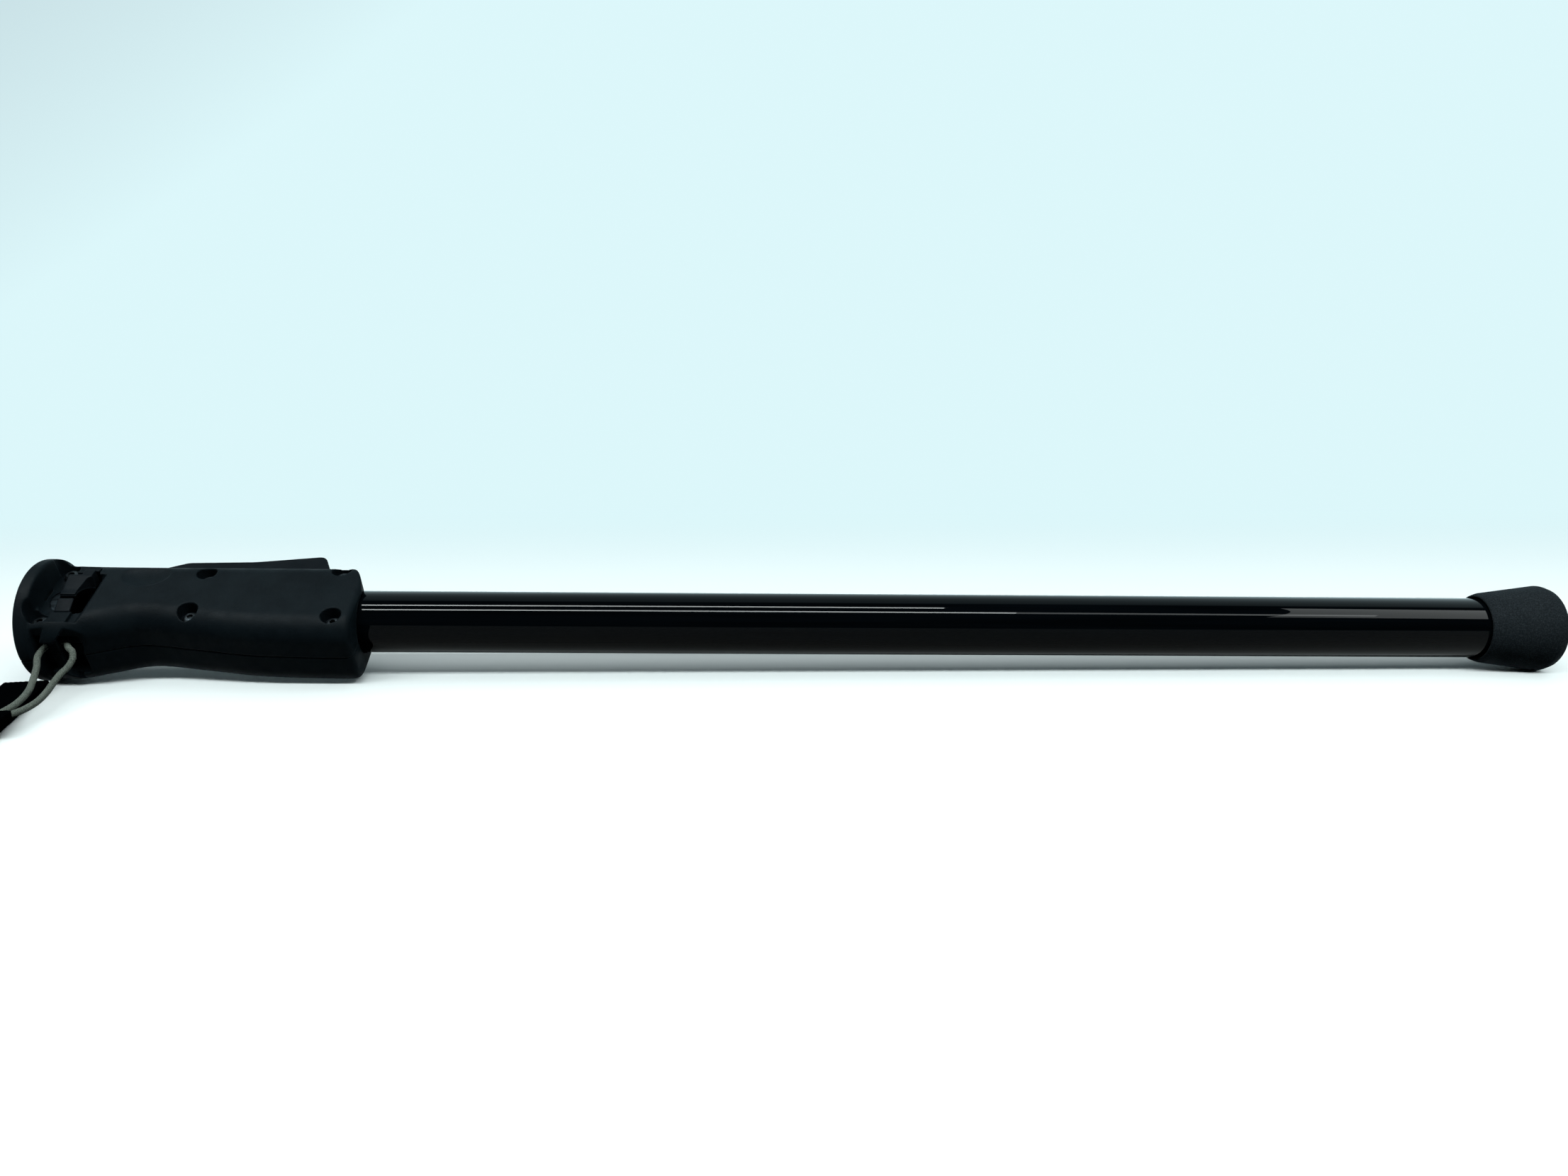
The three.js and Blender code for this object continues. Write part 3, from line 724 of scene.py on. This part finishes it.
def coved_pocket(name, outline, floor, top, cove):
    """A pocket tool whose bottom edge is a cove, so that its walls sweep into its floor."""
    shape = np.array(outline)
    centre = (shape.min(0) + shape.max(0)) / 2
    half = (shape.max(0) - shape.min(0)) / 2
    rings = []
    for k in range(11):
        angle = math.radians(90 * k / 10)
        shrink = cove * (1 - math.sin(angle))
        scale = (half - shrink) / half
        z = floor + cove * (1 - math.cos(angle))
        rings.append([(*(centre + (p - centre) * scale), z) for p in shape])
    rings.append([(*p, top) for p in shape])
    return loft(name, rings)


def thumb_recess():
    """The scoop between its shoulders, the slot for the collar's pad, and the ramp behind it."""
    shoulders = along_z("shoulders", round_rect(6.5, 25.4, -22.5, 21, (7, 3, 2, 4)), 18.2, 40)
    scoop = coved_pocket("scoop", round_rect(6.5, 25.4, -14.6, 16, (5, 3, 2, 5)), 12.6, 40, 5)
    deep = along_z("deep", round_rect(11.5, 27.4, -13, 14.5, (1.5,) * 4), 2, 40)
    arm_room = block("arm_room", 17.9, 27, 9, 17.4, 10, 40)
    slope = [(24, 16), (27.4, 16), (31.8, 20.5), (31.8, 25), (24, 25)]
    ramp_room = along_y("ramp_room", slope, -22.5, 12.5)
    return boolean(scoop, [shoulders, deep, arm_room, ramp_room], "UNION")


def thumb_dimple():
    """An ellipsoid that cuts a shallow oval dimple in the side of the grip."""
    centre_x, centre_y, centre_z = 51, 12.5, GRIP_HALF_WIDTH + 2.4
    half_length, half_width, half_height = 14, 11, 5
    rings = []
    for k in range(1, 24):
        angle = math.pi * k / 24
        z = centre_z - half_height * math.cos(angle)
        long, wide = half_length * math.sin(angle), half_width * math.sin(angle)
        rings.append([(centre_x + long * x, centre_y + wide * y, z) for x, y in circle(1)])
    return loft("dimple", rings)


def lanyard_pocket():
    """The pocket under the recess, with a bar left standing across it on two slanting struts."""
    pocket = coved_pocket("pocket", round_rect(7.6, 29.5, -45, -17.8, (2.5,) * 4), -11.6, 11.6, 0.3)
    mouth = [(7.6, -24), (24.6, -24), (25.4, -9), (29.6, 2), (33.6, 13), (33.6, 24), (7.6, 24)]
    boolean(pocket, [along_y("mouth", mouth, -45, -25.2)], "UNION")
    strut = along_y("strut", [(11.2, 9.3), (18.4, 9.3), (27.6, 22), (17.4, 22)], -50, -23.6)
    bar = block("bar", 13.5, 18.4, -26.2, -23.6, -10.5, 10.5)
    boss = bar_z("boss", 2.6, *SCREW_PLACES[0], -20, 20)
    return boolean(pocket, [bar, mirrored(strut), strut, boss])


def tail_sweep():
    """Rounds off the trigger side of the tail in a long sweep."""
    start, bend, end = (148.8, 24.4), (158.8, 18.4), (161.1, 3)
    outline = [(start[0], 30)]
    for k in range(17):
        t = k / 16
        outline.append(tuple(
            (1 - t) ** 2 * a + 2 * t * (1 - t) * b + t * t * c for a, b, c in zip(start, bend, end)
        ))
    outline += [(166, end[1]), (166, 30)]
    return along_z("tail_sweep", outline, -30, 30)


def grip_cutters():
    """Everything that is cut out of the grip: bores, chambers, recesses and screw wells."""
    recess = thumb_recess()
    dimple = thumb_dimple()
    tools = [
        bar_x("head_bore", 14.3, -1, 40),
        bar_x("head_collar", 17.3, 2.7, 6.3),
        bar_x("collar_chamber", 16.5, 11.5, 33),
        block("mechanism", 35, 75.5, -13.5, 17, -13, 13),
        block("passage", 75, 88, -10.3, 12, -10, 10),
        block("trigger_slot", 38.5, 138.5, 12, 50, -9.2, 9.2),
        bar_x("tube_bore", OUTER_TUBE["radius"] + 0.3, 87.5, 162),
        recess,
        mirrored(recess),
        dimple,
        mirrored(dimple),
        lanyard_pocket(),
        tail_sweep(),
        bar_z("pin_hole", 2.3, *PIVOT, -13.4, 13.4),
    ]
    for x, y in SCREW_PLACES:
        tools.append(bar_z("screw_hole", 1.75, x, y, -12.8, 14))
        tools.append(bar_z("screw_well", 5, x, y, 13, 40))
    return tools


def grip_shells():
    """The whole moulding, with everything cut out of it, split at the seam into two shells."""
    body = boolean(grip_body(), [flange()], "UNION")
    boolean(body, grip_cutters())
    for side, name in ((1, "near_grip_shell"), (-1, "far_grip_shell")):
        half = body.copy()
        half.data = body.data.copy()
        half.name = f"{name}_moulding"
        bpy.context.scene.collection.objects.link(half)
        low, high = sorted((side * SEAM, side * 60))
        boolean(half, [block("half_space", -10, 200, -60, 60, low, high)], "INTERSECT")
        soften(half, 0.42, 4)
        finish_piece(half, name)
    bpy.data.objects.remove(body)


grip_shells()


# ---------------------------------------------------------------- turned pieces
def tube(name, node, size):
    outline = round_rect(size["start"], size["end"], size["bore"], size["radius"], (0.25,) * 4, 3)
    return finish_piece(sharp_edges(lathe(name, outline, 192)), node)


def guide_bush(name, node, host, guest):
    """The ring at the host tube's end that the guest tube slides through."""
    inner = guest["radius"] + 0.3
    end = host["end"]
    outline = fillet([
        (end - 18, inner, 0.3),
        (end - 18, host["bore"] - 0.3, 0.3),
        (end + 0.3, host["bore"] - 0.3, 0),
        (end + 0.3, host["radius"] - 0.2, 0.3),
        (end + 1.9, host["radius"] - 0.2, 0.6),
        (end + 1.9, inner, 0.3),
    ], 4)
    return finish_piece(sharp_edges(lathe(name, outline, 160)), node)


def rubber_foot():
    """A flared foot with a cup for the outer tube and a socket for the lower one."""
    cup = OUTER_TUBE["radius"] + 0.7
    length = (foot_x - head_x) / MM
    shank = LOWER_TUBE["radius"] + 0.3
    outline = fillet([
        (746, cup, 0.3),
        (746.2, 17.5, 0.9),
        (749.2, 18.6, 2.5),
        (779.6, 22.75, 5.5),
        (length, 20.6, 3.2),
        (length, 9.0, 1.2),
        (length - 1.4, 8.0, 0.8),
        (length - 1.4, 0.001, 0),
        (779.2, 0.001, 0),
        (779.2, shank, 0.3),
        (771.4, shank, 0.3),
        (771.4, cup, 1.0),
    ], 10)
    return finish_piece(sharp_edges(lathe("foot_moulding", outline, 192), 50), "rubber_foot")


def head_socket():
    """A blind bush with a locating collar outside, and a groove inside for the head's spigot."""
    outline = fillet([
        (0.6, 9.5, 0.9),
        (0.6, 14, 0.6),
        (3, 14, 0),
        (3, 17, 0.4),
        (6, 17, 0.4),
        (6, 14, 0),
        (33.4, 14, 0.6),
        (33.4, 0.001, 0),
        (30.4, 0.001, 0),
        (30.4, 9.5, 0.6),
        (12, 9.5, 0.2),
        (11.4, 10.4, 0.3),
        (8.6, 10.4, 0.3),
        (8, 9.5, 0.2),
    ], 5)
    return finish_piece(sharp_edges(lathe("head_socket_turning", outline, 160)), "head_socket")


tube("outer_tube_wall", "outer_tube", OUTER_TUBE)
tube("middle_tube_wall", "middle_tube", MIDDLE_TUBE)
tube("lower_tube_wall", "lower_tube", LOWER_TUBE)
guide_bush("outer_bush_turning", "outer_guide_bush", OUTER_TUBE, MIDDLE_TUBE)
guide_bush("middle_bush_turning", "middle_guide_bush", MIDDLE_TUBE, LOWER_TUBE)
rubber_foot()
head_socket()


# ---------------------------------------------------------------- release collar and the springs
COLLAR_BORE = 14.35
COLLAR_RADIUS = 16.2


def thumb_pad():
    """The near side's pad: an arm reaches back from it, and its top has a saddle and a notch."""
    pad = along_z("pad", fillet([
        (12, -9.6, 0.5),
        (19.5, -9.6, 0.5),
        (19.5, 3, 2),
        (21.8, 10.6, 0.8),
        (23.6, 11.6, 0.5),
        (23.6, 16.8, 0.8),
        (18.4, 16.8, 0.8),
        (18.4, 13, 0.3),
        (12, 13, 0.5),
    ]), 12, 19.6)
    saddle = fillet([
        (-10.1, 14, 0),
        (-0.6, 17.6, 8),
        (3, 17.6, 8),
        (12, 19.6, 4),
        (17.5, 19.6, 0),
        (17.5, 21, 0),
        (-10.1, 21, 0),
    ])
    return boolean(pad, [
        block("notch", 11, 21, -2.4, -0.2, 15.9, 30),
        along_x("saddle", saddle, 10, 26),
        bar_x("bore", COLLAR_BORE, 10, 22),
    ])


def release_collar():
    """A ring round the head socket, its spring's skirt, and a thumb pad in each recess."""
    ring = lathe("release_collar_moulding", fillet([
        (12, COLLAR_BORE, 0.3),
        (12, COLLAR_RADIUS, 0.3),
        (27.2, COLLAR_RADIUS, 0.2),
        (27.2, 15.6, 0.2),
        (19.5, 15.6, 0.3),
        (19.5, COLLAR_BORE, 0.3),
    ], 4), 128)
    pad = thumb_pad()
    far_pad = mirrored(pad)
    boolean(ring, [pad, far_pad], "UNION")
    soften(ring, 0.26, 3)
    finish_piece(ring, "release_collar")
    darken_skirt(ring)


def darken_skirt(ring):
    """The ring and skirt lie in the shade of the recess, so all but the pads is a dead black."""
    ring.data.materials.append(SHADED_PLASTIC)
    to_pole = pole_frame.inverted()
    for face in ring.data.polygons:
        place = to_pole @ face.center
        if math.hypot(place.y, place.z) < COLLAR_RADIUS + 0.15:
            face.material_index = 1


def coil(name, node, radius, wire, turns, length, place, axis="x"):
    """A spring of round wire, wound about the x axis or the z axis."""
    steps = turns * 40
    rings = []
    for i in range(steps + 1):
        angle = TURN * turns * i / steps
        out = np.array([0, math.cos(angle), math.sin(angle)])
        centre = np.array([length * i / steps, 0, 0]) + radius * out
        along = np.array([1, 0, 0])
        rings.append([centre + a * out + b * along for a, b in circle(wire, segments=12)])
    piece = loft(name, rings)
    if axis == "z":
        piece.data.transform(Matrix.Rotation(math.pi / 2, 4, "Y"))
    piece.data.transform(Matrix.Translation(place))
    return finish_piece(piece, node)


release_collar()
collar_spring = coil("collar_spring_coil", "collar_spring", 14.97, 0.4, 5, 11, (20.6, 0, 0))
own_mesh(collar_spring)
coil("trigger_spring_coil", "trigger_spring", 3.6, 0.5, 4, 5.6, (*PIVOT, 2.8), axis="z")


# ---------------------------------------------------------------- trigger
TRIGGER_HALF = 8.7


def trigger_lever():
    """A bevelled lever with a round hub, room for its spring, and the arm that turns the rod."""
    outline = fillet([
        (PIVOT[0] + 2, PIVOT[1] - 4.6, 0.5),
        (66, 20.6, 2),
        (133.6, 31.5, 1),
        (135.2, 33.2, 0.6),
        (130.8, 42.9, 4.5),
        (95, 37.9, 60),
        (60.5, 36.8, 12),
        (51, 32.6, 6),
        (PIVOT[0] - 3, PIVOT[1] + 5, 2),
    ], 10)
    lever = along_z("trigger_lever_moulding", outline, -TRIGGER_HALF, TRIGGER_HALF)
    bevel = lever.modifiers.new("bevel", "BEVEL")
    bevel.width = 1.5
    bevel.segments = 5
    bevel.limit_method = "ANGLE"
    bevel.angle_limit = math.radians(40)
    apply_modifiers(lever)
    boolean(lever, [bar_z("hub", 5, *PIVOT, -TRIGGER_HALF, TRIGGER_HALF)], "UNION")
    boolean(lever, [
        bar_z("spring_room", 6, *PIVOT, -3.6, 3.6),
        bar_z("pin_bore", 2.15, *PIVOT, -10, 10),
    ])
    boolean(lever, [block("pusher", 64.5, 67.5, 2.9, 24, 5.3, 8.5)], "UNION")
    soften(lever, 0.38, 3)
    return finish_piece(lever, "trigger_lever")


trigger_lever()


# ---------------------------------------------------------------- shell screws
def shell_screw(number, x, y):
    """A button-head screw with a hexagon socket, at the bottom of its well."""
    outline = fillet([
        (-12.5, 0.001, 0),
        (-12.5, 1.4, 0.4),
        (SCREW_SEAT, 1.4, 0),
        (SCREW_SEAT, 3.9, 0.3),
        (SCREW_SEAT + 1.0, 3.9, 0.5),
        (SCREW_SEAT + 2.1, 2.6, 0.8),
        (SCREW_SEAT + 2.1, 0.001, 0),
    ], 5)
    piece = lathe(f"shell_screw_{number}_steel", outline, 64)
    piece.data.transform(Matrix.Rotation(-math.pi / 2, 4, "Y"))
    boolean(piece, [bar_z("socket", 1.55, 0, 0, SCREW_SEAT + 0.7, SCREW_SEAT + 4, 6)])
    piece.data.transform(Matrix.Translation((x, y, 0)))
    finish_piece(sharp_edges(piece), f"shell_screw_{number}")


for index, (screw_x, screw_y) in enumerate(SCREW_PLACES):
    shell_screw(index + 1, screw_x, screw_y)

# ---------------------------------------------------------------- CAD nodes that stay
for node_name, node in frame["nodes"].items():
    node.data.materials.clear()
    node.data.materials.append(MATERIAL_OF_SLOT[SLOT_OF_NODE[node_name]])


# ---------------------------------------------------------------- floor, backdrop and light
BACKDROP = (0.72, 0.93, 0.96)
# Painted shade: the colour that the camera's backdrop darkens to in its upper left corner, a painted
# vignette.
BACKDROP_SHADED_CORNER = (0.52, 0.66, 0.70)
FLOOR_WHITE = (0.93, 0.98, 0.98)
FLOOR_HALF = 12
FLOOR_GAP = 0.0002
FLANGE_REST_X = 3.5
FOOT_REST_X = 777
FOOT_REST_RADIUS = 22.3


def far_off(tree):
    """From 0 near the object to 1 far behind it, or far off on any side."""
    coordinates = add_node(tree, "ShaderNodeTexCoord")
    parts = add_node(tree, "ShaderNodeSeparateXYZ")
    tree.links.new(coordinates.outputs["Object"], parts.inputs[0])
    oval = add_node(tree, "ShaderNodeVectorMath", operation="MULTIPLY")
    oval.inputs[1].default_value = (0.5, 1, 0)
    tree.links.new(coordinates.outputs["Object"], oval.inputs[0])
    reach = add_node(tree, "ShaderNodeVectorMath", operation="LENGTH")
    tree.links.new(oval.outputs["Vector"], reach.inputs[0])
    furthest = add_node(tree, "ShaderNodeMath", operation="MAXIMUM")
    fades = ((parts.outputs["Y"], 0.05, 0.6), (reach.outputs["Value"], 0.65, 1.1))
    for index, (distance, start, end) in enumerate(fades):
        fade = add_node(tree, "ShaderNodeMapRange", interpolation_type="SMOOTHSTEP")
        fade.inputs["From Min"].default_value = start
        fade.inputs["From Max"].default_value = end
        tree.links.new(distance, fade.inputs["Value"])
        tree.links.new(fade.outputs["Result"], furthest.inputs[index])
    return furthest.outputs[0]


def floor():
    """A pale floor, tilted so that flange and foot both touch it, and fading into the backdrop."""
    slope = (FLANGE_RADIUS - FOOT_REST_RADIUS) / (FOOT_REST_X - FLANGE_REST_X)
    rest_x = head_x + FLANGE_REST_X * MM
    corners = round_rect(-FLOOR_HALF, FLOOR_HALF, -FLOOR_HALF, FLOOR_HALF, (0,) * 4)
    rests = [(x, y, (x - rest_x) * slope - FLOOR_GAP) for x, y in corners]
    piece = mesh_object("floor", rests, [(0, 1, 2, 3)])
    material, tree, shader = new_material("floor", FLOOR_WHITE, 0.6, {"Specular IOR Level": 0.1})
    glow = add_node(tree, "ShaderNodeEmission")
    glow.inputs["Color"].default_value = (*BACKDROP, 1)
    mix = add_node(tree, "ShaderNodeMixShader")
    tree.links.new(far_off(tree), mix.inputs["Fac"])
    tree.links.new(shader.outputs["BSDF"], mix.inputs[1])
    tree.links.new(glow.outputs["Emission"], mix.inputs[2])
    output = tree.nodes["Material Output"]
    tree.links.new(mix.outputs["Shader"], output.inputs["Surface"])
    piece.data.materials.append(material)
    piece.visible_diffuse = False
    return piece


def surroundings():
    """A light tent: white behind and dark in front; for the camera, the backdrop's colour, with
    painted shade darkening its upper left corner.
    """
    world = bpy.data.worlds.new("tent")
    bpy.context.scene.world = world
    world.use_nodes = True
    world.cycles_visibility.diffuse = False
    tree = world.node_tree
    background = tree.nodes["Background"]
    coordinates = add_node(tree, "ShaderNodeTexCoord")
    parts = add_node(tree, "ShaderNodeSeparateXYZ")
    tree.links.new(coordinates.outputs["Generated"], parts.inputs[0])
    walls = ramp(tree, parts.outputs["Y"], (0.006, 0.008, 0.01), (0.95, 1.25, 1.33), 0.14, 0.24)
    corner = add_node(tree, "ShaderNodeVectorMath", operation="DOT_PRODUCT")
    corner.inputs[1].default_value = (-0.8, 0, 1)
    tree.links.new(coordinates.outputs["Generated"], corner.inputs[0])
    # Painted shade: the backdrop seen by the camera darkens towards the upper left.
    sky = ramp(tree, corner.outputs["Value"], BACKDROP, BACKDROP_SHADED_CORNER, 0.42, 0.7)
    path = add_node(tree, "ShaderNodeLightPath")
    mix = add_node(tree, "ShaderNodeMix", data_type="RGBA")
    tree.links.new(path.outputs["Is Camera Ray"], mix.inputs["Factor"])
    tree.links.new(walls, mix.inputs[6])
    tree.links.new(sky, mix.inputs[7])
    tree.links.new(mix.outputs[2], background.inputs["Color"])


def lamp(name, elevation, distance, x, size, radiance, lights, floor_state=None):
    """A flat lamp facing the pole from the camera's side; it lights either diffuse or gloss.

    With a floor_state it lights only the floor ("INCLUDE") or all but the floor ("EXCLUDE").
    """
    data = bpy.data.lights.new(name, "AREA")
    data.shape = "RECTANGLE"
    data.size, data.size_y = size
    data.energy = radiance * math.pi * size[0] * size[1]
    data.color = (0.93, 1.0, 1.0)
    piece = bpy.data.objects.new(name, data)
    bpy.context.scene.collection.objects.link(piece)
    angle = math.radians(elevation)
    toward = Vector((0, -math.cos(angle), math.sin(angle)))
    piece.location = Vector((x, axis_y, axis_z)) + toward * distance
    piece.rotation_euler = toward.to_track_quat("Z", "Y").to_euler()
    piece.visible_camera = False
    piece.visible_glossy = lights == "gloss"
    piece.visible_diffuse = lights == "diffuse"
    if floor_state:
        receivers = bpy.data.collections.new(f"{name}_receivers")
        receivers.objects.link(ground)
        receivers.collection_objects[0].light_linking.link_state = floor_state
        piece.light_linking.receiver_collection = receivers


ground = floor()
surroundings()
lamp("window", 59, 1.2, 0.1, (2.4, 0.4), 7, "diffuse", "EXCLUDE")
lamp("table_light", 46, 3, 0.1, (6, 0.55), 15.5, "diffuse", "INCLUDE")
lamp("table_fill", 90, 0.9, 0, (2.6, 1.0), 0.85, "diffuse", "INCLUDE")
lamp("strip_high", 79, 0.7, -0.5, (1.4, 0.05), 95, "gloss")
lamp("strip_low", 60, 0.7, -0.45, (1.5, 0.05), 95, "gloss")
lamp("strip_far", 60, 0.7, 0.55, (0.6, 0.07), 18, "gloss")
lamp("side_panel", 70, 0.7, 0.95, (0.5, 0.5), 12, "gloss")

scene = bpy.context.scene
scene.view_settings.view_transform = "Standard"
